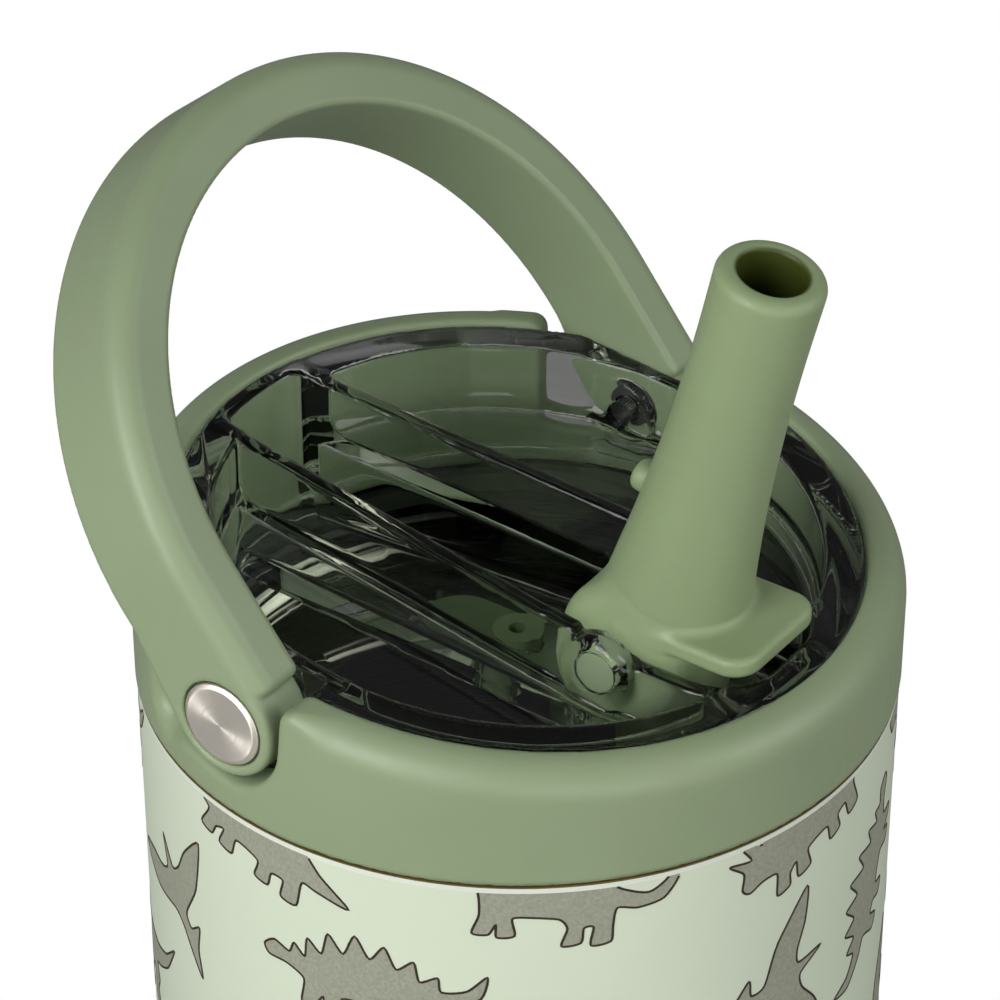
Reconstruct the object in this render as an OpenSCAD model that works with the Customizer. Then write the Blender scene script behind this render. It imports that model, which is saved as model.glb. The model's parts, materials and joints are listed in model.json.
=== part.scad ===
// Insulated kids water bottle: steel body, screw lid with a clear insert,
// a carry handle on two side pivots and a flip-up drinking spout.
// Millimetres. Z is up, the base stands on Z = 0, the spout side is -Y.

/* [Body] */
// Height of the steel body, from the table to its rim
body_height = 112; // [90:1:160]
// Outer radius of the steel body
body_radius = 42.3; // [36:0.1:50]
// Outer radius at the base, sized for a cup holder
base_radius = 35.5; // [30:0.5:42]
// Height above which the outer wall is straight
straight_from = 62; // [30:1:90]
// Sheet thickness of both steel walls
sheet = 0.6; // [0.4:0.1:1.2]
// Inner radius of the neck
neck_radius = 38.7; // [33:0.1:46]
// Inner radius at the bottom of the inside
well_radius = 32.4; // [26:0.1:38]
// Height of the inside bottom above the table
well_floor = 7.5; // [5:0.5:15]
// Thickness of the grip pad under the base
pad_thickness = 1.6; // [1:0.1:3]

/* [Lid] */
// Gap between the collar and the body rim
seam_gap = 0.3; // [0.2:0.05:1]
// Outer radius of the collar
collar_radius = 42.5; // [36:0.1:50]
// Inner radius of the collar wall
collar_bore = 38.15; // [33:0.05:46]
// Height of the rim above the seam, at the middle
rim_height = 17; // [12:0.5:24]
// Rise of the rim towards the back, in degrees
rim_tilt = 5.7; // [0:0.1:12]
// Round of the outer rim edge
rim_round = 3.4; // [1:0.1:4]
// Outer radius of the insert wall
insert_radius = 38; // [33:0.1:46]
// Inner radius of the insert's rim, above the side shelves
rim_bore = 33.4; // [33:0.1:36]
// Thickness of the insert's thin walls and floors
insert_wall = 2; // [1.2:0.1:3]
// Outer radius of the threaded skirt
skirt_radius = 37; // [32:0.1:45]
// Depth of the threaded skirt below the seam
skirt_depth = 13; // [8:0.5:20]
// Reach of the thread crests
thread_reach = 0.6; // [0.3:0.05:1]
// Half width of the spout channel at the hinge
channel_half = 9; // [8:0.1:11]
// Half width of the spout channel at its back end
channel_tail = 6.3; // [6.2:0.1:9]
// Height of the channel floor above the seam
channel_floor = 2.6; // [2:0.1:8]
// Half length of the spout channel
channel_reach = 34.6; // [28:0.1:36]
// Height of the side shelves above the seam, at the middle
shelf_height = 9; // [6:0.1:13]

/* [Handle] */
// Pivot position behind the lid centre
pivot_back = 8.2; // [0:0.1:15]
// Pivot height above the seam
pivot_up = 11.3; // [6:0.1:14]
// Backward lean of the handle at rest, in degrees
handle_lean = 38.6; // [0:0.1:60]
// Half width of the handle, outside
handle_half = 42; // [36:0.1:48]
// Top of the handle above its pivots
handle_top = 56.3; // [45:0.1:75]
// Thickness of the handle
handle_thick = 6.7; // [5:0.1:9]
// Width of the handle band
handle_width = 12.2; // [9:0.1:16]
// Forward offset of the band from the pivots
handle_jog = 1.7; // [0:0.1:6]
// Radius of the round handle ends
ear_radius = 6.4; // [5:0.1:9]
// Radius of the steel caps
cap_radius = 4.85; // [3.5:0.05:6]

/* [Spout] */
// Spout hinge position in front of the lid centre
hinge_front = 18; // [10:0.1:24]
// Spout hinge height above the seam
hinge_up = 10.9; // [8:0.1:14]
// Forward lean of the raised spout, in degrees
spout_lean = 13.4; // [0:0.1:30]
// Distance from the hinge to the spout tip
spout_length = 49.9; // [35:0.1:60]
// Forward offset of the spout from its hinge
spout_offset = 1.5; // [0:0.1:3]
// Outer radius of the spout below its lip
spout_radius = 5.8; // [4.5:0.05:8]
// Bore radius of the spout
spout_bore = 3.7; // [2.5:0.05:5]
// Radius of the hinge barrel
barrel_radius = 7.9; // [5:0.1:8.5]
// Half width of the thumb tab
tab_half = 7.8; // [5:0.1:8]
// Front edge of the thumb tab, in front of the lid centre
tab_front = 34.2; // [28:0.1:38]
// Thickness of the thumb tab
tab_thick = 2.3; // [1.5:0.1:4]
// Outer radius of the straw
straw_radius = 3.5; // [2.5:0.1:5]
// Gap between the straw and the inside bottom
straw_gap = 7; // [3:0.5:20]

/* [Hidden] */
$fn = 128;
seam = body_height;
eps = 0.05;
straw_wall = 0.8;
shank_radius = 1.5;
run_gap = 0.06;
bush_radius = 2.6;
trunnion_radius = 2.5;
ear_inner = handle_half - handle_thick;
panel_face = ear_inner - 0.4;
channel_out = channel_half + insert_wall;
notch_back = 20.8;
notch_low = 4.6;
seat_radius = 12;
channel_corner = 6;
lobe_half = 4.6;
lobe_back = 7;
vent_y = -hinge_front + 17.4;

// everything above the seam is placed from the rim of the body
module at_seam() translate([0, 0, seam]) children();
// frame of the slanted rim: its XY plane is the rim plane
module rim_frame(h) translate([0, 0, seam + h]) rotate([rim_tilt, 0, 0]) children();
// keeps what is below the slanted plane at height h
module below_rim(h) rim_frame(h) translate([-60, -60, -90]) cube([120, 120, 90]);
// along X, both ways, from a profile drawn in (Y, Z)
module side_extrude(x0, x1) translate([x0, 0, 0]) rotate([90, 0, 90]) linear_extrude(x1 - x0) children();
module disc_x(x0, x1, r) translate([x0, 0, 0]) rotate([0, 90, 0]) cylinder(r = r, h = x1 - x0);
module both_sides() for (k = [0, 1]) mirror([k, 0, 0]) children();
module at_pivot() translate([0, pivot_back, seam + pivot_up]) children();
module at_hinge() translate([0, -hinge_front, seam + hinge_up]) children();
// frame of the raised spout: Z runs along the tube
module spout_frame() at_hinge() rotate([spout_lean, 0, 0]) translate([0, -spout_offset, 0]) children();
module handle_frame() at_pivot() rotate([-handle_lean, 0, 0]) children();

// ---- body ----
module outer_shell() color("honeydew") rotate_extrude() polygon([
  [base_radius - 2, pad_thickness - sheet], [base_radius - 0.7, pad_thickness - sheet + 0.5],
  [base_radius, 3.2], [base_radius, 9], [body_radius, straight_from],
  [body_radius, seam - 0.7], [body_radius - 0.7, seam], [neck_radius + sheet, seam],
  [neck_radius + sheet, seam - sheet], [body_radius - sheet, seam - 1.4],
  [body_radius - sheet, straight_from], [base_radius - sheet, 9.1],
  [base_radius - sheet, 3.4], [base_radius - 1.1, pad_thickness], [base_radius - 2, pad_thickness]]);

module thread_rib(r0, r1, z, turn) at_seam() rotate([0, 0, turn]) rotate_extrude(angle = 100)
  polygon([[r0, z - 1.2], [r1, z - 0.4], [r1, z + 0.4], [r0, z + 1.2]]);

module inner_vessel() color("dimgray") union() {
  rotate_extrude() polygon([
    [0, well_floor - sheet], [well_radius - 7, well_floor - sheet],
    [well_radius - 2.2, well_floor + 1.2], [well_radius + sheet, well_floor + 6.2],
    [neck_radius + sheet, 66], [neck_radius + sheet, seam], [neck_radius, seam],
    [neck_radius, 66], [well_radius, well_floor + 6.5],
    [well_radius - 2.5, well_floor + 1.9], [well_radius - 7, well_floor], [0, well_floor]]);
  for (i = [0:2]) thread_rib(neck_radius + 0.2, neck_radius - thread_reach, -7, 120 * i);
}

module base_plate() color("silver") translate([0, 0, pad_thickness])
  cylinder(r = base_radius - 1.5, h = sheet);

// pad with a ring groove in its underside
module base_pad() color("darkseagreen") difference() {
  cylinder(r = base_radius - 2.3, h = pad_thickness);
  difference() {
    translate([0, 0, -1]) cylinder(r = base_radius - 9, h = 1.4);
    translate([0, 0, -2]) cylinder(r = base_radius - 20, h = 4);
  }
}

module vacuum_getter() color("gray") translate([0, 0, pad_thickness + sheet]) cylinder(r = 4, h = 1.5);

// ---- lid ----
// opening in the collar wall for a handle end, drawn in (Y, Z)
module notch_shape(grow = 0) {
  translate([pivot_back, pivot_up]) circle(r = ear_radius + 1 + grow);
  polygon([[pivot_back - ear_radius - 1 - grow, pivot_up], [-1.4 - grow, 19],
    [-1.4 - grow, 40], [notch_back + grow, 40], [notch_back + grow, pivot_up]]);
  translate([pivot_back, notch_low + 2.5]) square([notch_back - pivot_back + grow, 40]);
  translate([pivot_back, notch_low - grow]) square([notch_back - pivot_back - 2.5, 40]);
  translate([notch_back - 2.5, notch_low + 2.5]) circle(r = 2.5 + grow);
}

module rim_cutter() rim_frame(rim_height) rotate_extrude() polygon(concat(
  [for (a = [28, 50, 72])
    [collar_radius - rim_round * (1 - cos(a)), -rim_round * (1 - sin(a))]],
  [[collar_radius - rim_round, eps], [collar_radius - rim_round, 6],
   [collar_radius + 6, 6], [collar_radius + 6, -rim_round - 2], [collar_radius + 1.4, -rim_round - 2]]));

module lid_collar() color("darkseagreen") difference() {
  intersection() {
    at_seam() translate([0, 0, seam_gap]) cylinder(r = collar_radius, h = 30);
    below_rim(rim_height);
  }
  at_seam() cylinder(r = skirt_radius + 0.2, h = 40);
  at_seam() translate([0, 0, insert_wall]) cylinder(r = collar_bore, h = 40);
  rim_cutter();
  rim_frame(rim_height) translate([0, 0, -2]) cylinder(r1 = collar_bore - 0.9, r2 = collar_bore + 1.3, h = 2.4);
  both_sides() at_seam() side_extrude(30, 50) notch_shape();
}

// plan of the channel: straight beside the hinge, narrower towards the back, round front corners
module channel_plan(grow) {
  c = channel_corner + grow;
  front = channel_reach + grow;
  polygon([[-channel_half - grow, c - front], [channel_half + grow, c - front],
    [channel_half + grow, -10], [channel_tail + grow, channel_reach + grow],
    [-channel_tail - grow, channel_reach + grow], [-channel_half - grow, -10]]);
  translate([c - channel_half - grow, -front]) square([2 * (channel_half + grow - c), c + 1]);
  for (s = [-1, 1]) translate([s * (channel_half + grow - c), c - front]) circle(r = c);
}

module seat_plan(grow = 0) {
  translate([0, -hinge_front]) circle(r = seat_radius + grow);
  translate([-lobe_half - grow, -hinge_front]) square([2 * (lobe_half + grow), lobe_back + hinge_front]);
  translate([0, lobe_back]) circle(r = lobe_half + grow);
}

module lid_insert() color([0.85, 0.9, 0.9, 0.4]) difference() {
  union() {
    // broad rim above the collar ledge and the threaded skirt below it
    difference() {
      union() {
        intersection() {
          at_seam() translate([0, 0, insert_wall]) cylinder(r = insert_radius, h = 30);
          below_rim(rim_height - 0.5);
        }
        at_seam() translate([0, 0, -skirt_depth]) cylinder(r = skirt_radius, h = skirt_depth + insert_wall + eps);
      }
      // inside of the rim above the shelves
      difference() {
        at_seam() translate([0, 0, -skirt_depth - 1]) cylinder(r = rim_bore, h = 60);
        at_seam() translate([0, 0, -skirt_depth - 2]) cylinder(r = 60, h = skirt_depth + 2 + insert_wall);
        below_rim(shelf_height);
      }
      // inside of the skirt, up to the underside of the shelves
      intersection() {
        at_seam() translate([0, 0, -skirt_depth - 1]) cylinder(r = skirt_radius - insert_wall, h = 60);
        below_rim(shelf_height - insert_wall);
      }
    }
    for (i = [0:2]) thread_rib(skirt_radius - 0.2, skirt_radius + thread_reach, -10, 120 * i + 10);
    // channel for the folded spout
    intersection() {
      difference() {
        at_seam() translate([0, 0, channel_floor - insert_wall]) linear_extrude(40) channel_plan(insert_wall);
        // the side walls are lower in front of the hinge
        at_seam() translate([-20, -60, 13.2]) cube([40, 45.2, 40]);
      }
      at_seam() cylinder(r = insert_radius - 0.5, h = 40);
      below_rim(rim_height - 0.5);
    }
    // flat panels behind the collar openings, with the pivot bosses and the hinge bosses
    both_sides() {
      intersection() {
        at_seam() translate([panel_face - insert_wall, -3.8, insert_wall]) cube([insert_wall, 26.8, 30]);
        at_seam() cylinder(r = insert_radius - 0.3, h = 40);
        below_rim(rim_height - 0.7);
      }
      at_pivot() disc_x(panel_face - 3, panel_face, 4.4);
      at_hinge() disc_x(channel_out - 0.5, channel_out + 1.2, 4.4);
    }
  }
  // open inside of the channel
  intersection() {
    at_seam() translate([0, 0, channel_floor]) linear_extrude(40) channel_plan(0);
    at_seam() cylinder(r = insert_radius - insert_wall, h = 40);
  }
  // clear of the collar openings, outside the panels
  both_sides() at_seam() side_extrude(panel_face, 50) notch_shape(0.6);
  both_sides() at_pivot() disc_x(panel_face - 5, panel_face + 1, shank_radius);
  // spout hinge holes, seat hole and vent hole
  at_hinge() disc_x(-channel_out - 0.4, channel_out + 0.4, trunnion_radius + run_gap);
  at_seam() translate([0, -hinge_front, -5]) cylinder(r = 7.6, h = 5 + channel_floor + 1);
  at_seam() translate([0, vent_y, -5]) cylinder(r = 2.8, h = 5 + channel_floor + 1);
}

module lid_gasket() color("whitesmoke") at_seam() rotate_extrude() difference() {
  translate([skirt_radius, -3.4]) square([neck_radius - skirt_radius - 0.3, 2.4]);
  translate([neck_radius - 0.3, -2.2]) circle(r = 0.45, $fn = 24);
}

module spout_seat() color("olivedrab") difference() {
  union() {
    at_seam() translate([0, 0, channel_floor - insert_wall - 2.4]) linear_extrude(2.4) seat_plan();
    at_seam() translate([0, -hinge_front, channel_floor - insert_wall]) cylinder(r = 7.6, h = insert_wall + 0.6);
    at_seam() translate([0, vent_y, channel_floor - insert_wall]) cylinder(r = 2.8, h = insert_wall + 0.9);
    at_seam() translate([0, -hinge_front, -8]) cylinder(r = straw_radius + 1.8, h = 8);
  }
  at_hinge() disc_x(-12, 12, barrel_radius + 0.3);
  at_seam() translate([0, -hinge_front, -9]) cylinder(r = straw_radius, h = 7);
  at_seam() translate([0, -hinge_front, -9]) cylinder(r = straw_radius - straw_wall, h = 20);
  at_seam() translate([0, vent_y, -9]) cylinder(r = 1, h = 20);
}

module seat_retainer() color([0.85, 0.9, 0.9, 0.4]) at_seam()
  translate([0, 0, channel_floor - insert_wall - 4]) difference() {
    linear_extrude(4) seat_plan(1.6);
    translate([0, 0, 1.6]) linear_extrude(4) seat_plan(0.1);
    translate([0, -hinge_front, -1]) cylinder(r = straw_radius + 1.9, h = 4);
    translate([0, vent_y, -1]) cylinder(r = 1.6, h = 4);
  }

module straw() color("palegreen") translate([0, -hinge_front, well_floor + straw_gap]) difference() {
  cylinder(r = straw_radius, h = seam - 2.1 - well_floor - straw_gap);
  translate([0, 0, -1]) cylinder(r = straw_radius - straw_wall, h = seam);
}

// ---- handle ----
// front outline of the arch, drawn in (X, up)
module arch_front(r) {
  translate([0, handle_top - handle_half]) circle(r = r);
  translate([-r, -20]) square([2 * r, handle_top - handle_half + 20]);
}

module handle() color("darkseagreen") handle_frame() difference() {
  intersection() {
    rotate([90, 0, 0]) translate([0, 0, -30]) linear_extrude(60) difference() {
      arch_front(handle_half);
      arch_front(ear_inner);
    }
    // side outline, drawn in (Y, up): round end, leg and band
    translate([-50, 0, 0]) rotate([90, 0, 90]) linear_extrude(100) {
      circle(r = ear_radius);
      polygon([[-ear_radius, 0], [ear_radius, 0], [handle_width / 2 - handle_jog, 13],
        [handle_width / 2 - handle_jog, handle_top + 1],
        [-handle_width / 2 - handle_jog, handle_top + 1], [-handle_width / 2 - handle_jog, 1.6],
        [-handle_width / 2 - handle_jog + 0.6, 0.5]]);
    }
  }
  both_sides() {
    disc_x(ear_inner - 1, handle_half, bush_radius);
    disc_x(ear_inner + 3.2, handle_half + 1, cap_radius - 0.8);
    disc_x(handle_half - 1.3, handle_half + 1, cap_radius);
  }
}

module steel_cap() handle_frame() rotate([0, 90, 0]) translate([0, 0, handle_half - 1.3]) union() {
  cylinder(r = cap_radius, h = 1.3);
  translate([0, 0, 1.3]) cylinder(r1 = cap_radius, r2 = cap_radius - 0.3, h = 0.25);
}
module cap_right() color("silver") steel_cap();
module cap_left() color("silver") mirror([1, 0, 0]) steel_cap();

module pivot_screws() color("lightgray") both_sides() at_pivot() {
  disc_x(panel_face - 2.6, ear_inner + 3.3, shank_radius);
  disc_x(ear_inner + 3.3, ear_inner + 4.9, 3.4);
}

module pivot_bushes() color("ivory") both_sides() at_pivot() difference() {
  disc_x(ear_inner - 0.2, ear_inner + 3.2, bush_radius);
  disc_x(ear_inner - 1, ear_inner + 4, shank_radius + run_gap);
}

// ---- spout ----
module spout_mouthpiece() color("darkkhaki") difference() {
  spout_frame() rotate_extrude() polygon([
    [0, 0], [8, 0], [7.9, 7], [7.2, 11], [6.6, 18], [spout_radius, 32], [spout_radius, 44],
    [5.9, spout_length - 2.5], [5.85, spout_length - 1], [5.3, spout_length - 0.2],
    [4.8, spout_length], [0, spout_length]]);
  spout_frame() translate([0, 0, -1]) cylinder(r = spout_bore, h = 60);
  spout_frame() translate([0, 0, spout_length - 0.7]) cylinder(r1 = spout_bore, r2 = spout_bore + 0.5, h = 0.8);
  at_hinge() disc_x(-12, 12, barrel_radius);
  at_hinge() translate([-20, -20, -40]) cube([40, 40, 42]);
  spout_frame() translate([0, 0, 17.4]) rotate([-90, 0, 0]) cylinder(r = 1.1, h = 20);
  at_seam() translate([-20, -60, hinge_up - 20]) cube([40, 60 - hinge_front - 2, 20 + 16 - hinge_up]);
}

module spout_hub() color("darkseagreen") difference() {
  union() {
    at_hinge() disc_x(-7.7, 7.7, barrel_radius);
    // thumb tab
    at_seam() translate([0, 0, 16 - tab_thick]) linear_extrude(tab_thick) {
      translate([-tab_half, -tab_front + 3]) square([2 * tab_half, tab_front - 3 - hinge_front]);
      translate([-tab_half + 3, -tab_front]) square([2 * tab_half - 6, 6]);
      for (s = [-1, 1]) translate([s * (tab_half - 3), -tab_front + 3]) circle(r = 3);
    }
    // spigot inside the mouthpiece
    spout_frame() cylinder(r = spout_bore, h = 13);
  }
  spout_frame() translate([0, 0, -12]) cylinder(r = 2.8, h = 40);
  at_hinge() translate([0, 0, -12]) cylinder(r = 2.8, h = 12);
  both_sides() at_hinge() disc_x(4.6, 9, trunnion_radius - 0.5);
}

module spout_trunnions() color("silver") both_sides() at_hinge() {
  disc_x(4.6, 7.7, trunnion_radius - 0.5);
  disc_x(7.7, channel_out + 0.2, trunnion_radius);
}

module vent_plug() color("darkkhaki") spout_frame() translate([0, 0, 17.4]) rotate([-90, 0, 0]) {
  translate([0, 0, 4.6]) cylinder(r = 1, h = 2.6);
  translate([0, 0, 7.1]) cylinder(r = 1.7, h = 0.8);
  translate([0, 0, 7.9]) cylinder(r1 = 1.7, r2 = 1.1, h = 0.5);
}

outer_shell();
inner_vessel();
base_plate();
base_pad();
vacuum_getter();
lid_collar();
lid_insert();
lid_gasket();
spout_seat();
seat_retainer();
straw();
handle();
cap_left();
cap_right();
pivot_screws();
pivot_bushes();
spout_mouthpiece();
spout_hub();
spout_trunnions();
vent_plug();
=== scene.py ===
"""Looks of an insulated kids water bottle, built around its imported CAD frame.

Lengths in this script are millimetres in the frame's own axes, and are turned into metres when a mesh is
made. Heights on the lid are measured up from the seam where the collar meets the body. Most moulded parts
are drawn as a signed distance and meshed, so every edge has its own round.
"""
import json
import math

import bmesh
import bpy
import numpy as np
from mathutils import Matrix, Vector
from mathutils.geometry import delaunay_2d_cdt


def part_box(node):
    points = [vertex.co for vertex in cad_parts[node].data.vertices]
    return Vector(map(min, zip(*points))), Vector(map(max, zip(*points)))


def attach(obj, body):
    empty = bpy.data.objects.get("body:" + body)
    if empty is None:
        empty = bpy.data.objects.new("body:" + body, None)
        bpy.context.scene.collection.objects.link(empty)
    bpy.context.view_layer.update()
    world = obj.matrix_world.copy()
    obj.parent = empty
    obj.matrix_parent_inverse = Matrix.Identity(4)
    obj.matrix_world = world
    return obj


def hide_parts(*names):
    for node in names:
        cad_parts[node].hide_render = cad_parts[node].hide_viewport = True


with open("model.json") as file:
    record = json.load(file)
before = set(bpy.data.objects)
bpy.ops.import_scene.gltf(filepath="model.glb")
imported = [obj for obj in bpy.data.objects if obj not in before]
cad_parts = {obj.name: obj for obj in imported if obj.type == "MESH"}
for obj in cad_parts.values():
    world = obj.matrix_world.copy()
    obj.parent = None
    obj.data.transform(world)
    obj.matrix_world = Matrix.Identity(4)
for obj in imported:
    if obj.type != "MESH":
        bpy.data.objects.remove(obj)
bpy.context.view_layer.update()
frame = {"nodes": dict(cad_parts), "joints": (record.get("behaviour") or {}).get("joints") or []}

MM = 0.001

# ---- driving dimensions, from the frame ----
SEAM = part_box("outer_shell")[1].z / MM
BODY_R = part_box("outer_shell")[1].x / MM
COLLAR_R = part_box("lid_collar")[1].x / MM
HANDLE_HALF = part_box("handle")[1].x / MM
COLLAR_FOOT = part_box("lid_collar")[0].z / MM - SEAM
JOINT = {j["name"]: j for j in frame["joints"]}
PIVOT = Vector(JOINT["handle_swing"]["pos_m"]) / MM - Vector((0, 0, SEAM))
HINGE = Vector(JOINT["spout_fold"]["pos_m"]) / MM - Vector((0, 0, SEAM))

# lid
COLLAR_BORE = 38.15
COLLAR_LEDGE = 37.2
RIM_HEIGHT = 17.0
RIM_TILT = math.radians(5.7)
RIM_ROUND = 3.4
# handle
LEAN = math.radians(38.6)
HANDLE_THICK = 6.7
HANDLE_TOP = 56.3
HANDLE_WIDTH = 12.2
HANDLE_JOG = 1.7
HANDLE_CHAMFER = 1.7
SHOULDER_FOOT = 0.65
EAR_R = 6.4
CAP_R = 4.85
CAP_SINK = 1.3
SEAT_SINK = 1.4
# spout
SPOUT_LEAN = math.radians(13.4)
SPOUT_LENGTH = 49.9
SPOUT_OFFSET = 1.5
SPOUT_BORE = 3.7
BARREL_R = 7.9
TAB_HALF = 7.8
TAB_FRONT = 34.2
TAB_TOP = 16.0
TAB_THICK = 2.3


# ---- distance functions ----
def round_both(a, b, radius):
    """Where both are inside, with a round of that radius along the edge."""
    edge = np.hypot(np.maximum(radius + a, 0), np.maximum(radius + b, 0))
    return np.minimum(-radius, np.maximum(a, b)) + edge


def soft_both(a, b, soft):
    """Where both are inside, with a soft edge."""
    h = np.maximum(soft - np.abs(a - b), 0) / soft
    return np.maximum(a, b) + h * h * soft / 4


def soft_either(a, b, soft):
    """Where either is inside, with a soft fillet between them."""
    return -soft_both(-a, -b, soft)


# ---- meshes ----
def new_object(name, verts, faces, place=None):
    mesh = bpy.data.meshes.new(name)
    mesh.from_pydata([tuple(v) for v in verts], [], [tuple(f) for f in faces])
    mesh.validate()
    mesh.shade_smooth()
    obj = bpy.data.objects.new(name, mesh)
    bpy.context.scene.collection.objects.link(obj)
    if place is not None:
        mesh.transform(place)
    return obj


def surface_net(distance, low, high, cell):
    """Vertices and quads of distance = 0 in a box, one vertex in each cell that the surface crosses."""
    axes = [np.arange(a, b + cell, cell) for a, b in zip(low, high)]
    x, y, z = np.meshgrid(*axes, indexing="ij")
    f = distance(x, y, z)
    shape = tuple(n - 1 for n in f.shape)
    total = np.zeros(shape + (3,))
    count = np.zeros(shape)
    crossings = []
    for axis in range(3):
        first = [slice(None)] * 3
        second = [slice(None)] * 3
        first[axis] = slice(0, -1)
        second[axis] = slice(1, None)
        fa, fb = f[tuple(first)], f[tuple(second)]
        cut = np.argwhere((fa < 0) != (fb < 0))
        va, vb = fa[tuple(cut.T)], fb[tuple(cut.T)]
        t = va / (va - vb)
        point = cut.astype(float)
        point[:, axis] += t
        crossings.append((cut, va < 0))
        others = [k for k in range(3) if k != axis]
        for i in (0, -1):
            for j in (0, -1):
                cells = cut.copy()
                cells[:, others[0]] += i
                cells[:, others[1]] += j
                good = np.all((cells >= 0) & (cells < np.array(shape)), axis=1)
                np.add.at(total, tuple(cells[good].T), point[good])
                np.add.at(count, tuple(cells[good].T), 1)
    used = np.argwhere(count > 0)
    number = np.full(shape, -1)
    number[tuple(used.T)] = np.arange(len(used))
    verts = total[tuple(used.T)] / count[tuple(used.T)][:, None] * cell + np.array(low)
    quads = []
    for axis, (cut, inside_first) in enumerate(crossings):
        u, v = [(1, 2), (2, 0), (0, 1)][axis]
        corners = []
        for i, j in ((0, 0), (-1, 0), (-1, -1), (0, -1)):
            cells = cut.copy()
            cells[:, u] += i
            cells[:, v] += j
            good = np.all((cells >= 0) & (cells < np.array(shape)), axis=1)
            index = np.full(len(cut), -1)
            index[good] = number[tuple(cells[good].T)]
            corners.append(index)
        quad = np.stack(corners, axis=1)
        quad[~inside_first] = quad[~inside_first][:, ::-1]
        quads.append(quad[np.all(quad >= 0, axis=1)])
    return verts, np.concatenate(quads)


def settle(distance, verts, cell, rounds=3):
    """Moves each vertex straight onto the surface."""
    step = cell * 0.05
    for _ in range(rounds):
        p = [verts[:, k] for k in range(3)]
        here = distance(*p)
        slope = []
        for k in range(3):
            q = list(p)
            q[k] = p[k] + step
            ahead = distance(*q)
            q[k] = p[k] - step
            slope.append((ahead - distance(*q)) / (2 * step))
        slope = np.stack(slope, axis=1)
        size = np.maximum((slope ** 2).sum(axis=1), 0.2)
        move = -(here / size)[:, None] * slope
        length = np.maximum(np.linalg.norm(move, axis=1), 1e-9)
        move *= np.minimum(1, 0.4 * cell / length)[:, None]
        verts = verts + move
    return verts


def moulded(name, distance, low, high, cell, place=None):
    """An object from a distance function in millimetres."""
    verts, quads = surface_net(distance, low, high, cell)
    verts = settle(distance, verts, cell)
    scale = Matrix.Diagonal((MM, MM, MM, 1))
    return new_object(name, verts, quads.tolist(), scale if place is None else place @ scale)


def rounded_profile(points, steps=6):
    """Polygon corners (r, z, round) as points, with each round drawn as an arc."""
    out = []
    n = len(points)
    for i, (r, z, radius) in enumerate(points):
        here = Vector((r, z))
        before = Vector(points[i - 1][:2]) - here
        after = Vector(points[(i + 1) % n][:2]) - here
        if radius <= 0 or before.length == 0 or after.length == 0:
            out.append((r, z))
            continue
        half = before.angle(after) / 2
        back = min(radius / math.tan(half), before.length * 0.49, after.length * 0.49)
        radius = back * math.tan(half)
        a, b = here + before.normalized() * back, here + after.normalized() * back
        middle = here + (before.normalized() + after.normalized()).normalized() * (radius / math.sin(half))
        start = (a - middle)
        turn = start.angle_signed(b - middle)
        for k in range(steps + 1):
            p = middle + Matrix.Rotation(-turn * k / steps, 2) @ start
            out.append((p.x, p.y))
    return out


def lathe(name, points, segments=192, steps=6, place=None):
    """A closed solid of revolution about Z from profile corners (r, z, round)."""
    ring = rounded_profile(points, steps)
    verts, faces, rows = [], [], []
    for r, z in ring:
        if r < 1e-6:
            rows.append([len(verts)] * segments)
            verts.append((0, 0, z))
            continue
        rows.append(list(range(len(verts), len(verts) + segments)))
        for k in range(segments):
            a = 2 * math.pi * k / segments
            verts.append((r * math.cos(a), r * math.sin(a), z))
    for lower, upper in zip(rows, rows[1:] + rows[:1]):
        for k in range(segments):
            loop = [lower[k], lower[(k + 1) % segments], upper[(k + 1) % segments], upper[k]]
            loop = list(dict.fromkeys(loop))
            if len(loop) > 2:
                faces.append(loop)
    scale = Matrix.Diagonal((MM, MM, MM, 1))
    obj = new_object(name, verts, faces, scale if place is None else place @ scale)
    bm = bmesh.new()
    bm.from_mesh(obj.data)
    bmesh.ops.recalc_face_normals(bm, faces=bm.faces)
    bm.to_mesh(obj.data)
    bm.free()
    obj.data.shade_smooth()
    obj.data.set_sharp_from_angle(angle=math.radians(38))
    return obj


SEAM_UP = Matrix.Translation((0, 0, SEAM * MM))


# ---- collar ----
def rim_distance(y, z, height):
    """Height above the slanted rim plane; heights are measured up from the seam."""
    return (z - height) * math.cos(RIM_TILT) - y * math.sin(RIM_TILT)


def notch_distance(x, y, z):
    """Opening in the collar wall for a handle end; its back edge spreads outwards."""
    front = 0.9 - 0.13 * (z - PIVOT.z) - y
    floor = 4.4 - z
    back = y - 19.8 - 0.2 * (np.abs(x) - 32.3)
    return round_both(round_both(front, floor, 6.2), back, 2.5)


def leg_distance(x, y, z):
    """The leaning band of the handle, seen from the lid."""
    q, s = y - PIVOT.y, z - PIVOT.z
    across, along = q * math.cos(LEAN) - s * math.sin(LEAN), q * math.sin(LEAN) + s * math.cos(LEAN)
    return handle_distance(x, across, along)


def collar_distance(x, y, z):
    r = np.hypot(x, y)
    notch = np.where(np.abs(x) > 20, notch_distance(x, y, z), 60)
    upper = round_both(rim_distance(y, z, RIM_HEIGHT), -notch, 2.0)
    # the rim's round tightens towards the front corner of each opening
    tight = np.clip((notch - 1.5) / 5, 0, 1)
    soft = 1.1 + (RIM_ROUND - 1.1) * np.maximum(tight, np.clip((y - 16) / 3, 0, 0.8))
    wall = round_both(upper, r - COLLAR_R, soft)
    hollow = np.minimum(r - COLLAR_LEDGE, np.maximum(r - COLLAR_BORE, 2.0 - z))
    wall = round_both(wall, -hollow, 0.5)
    wall = round_both(wall, COLLAR_FOOT - z, 0.25)
    return soft_both(wall, 0.45 - leg_distance(x, y, z), 1.6)


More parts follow.
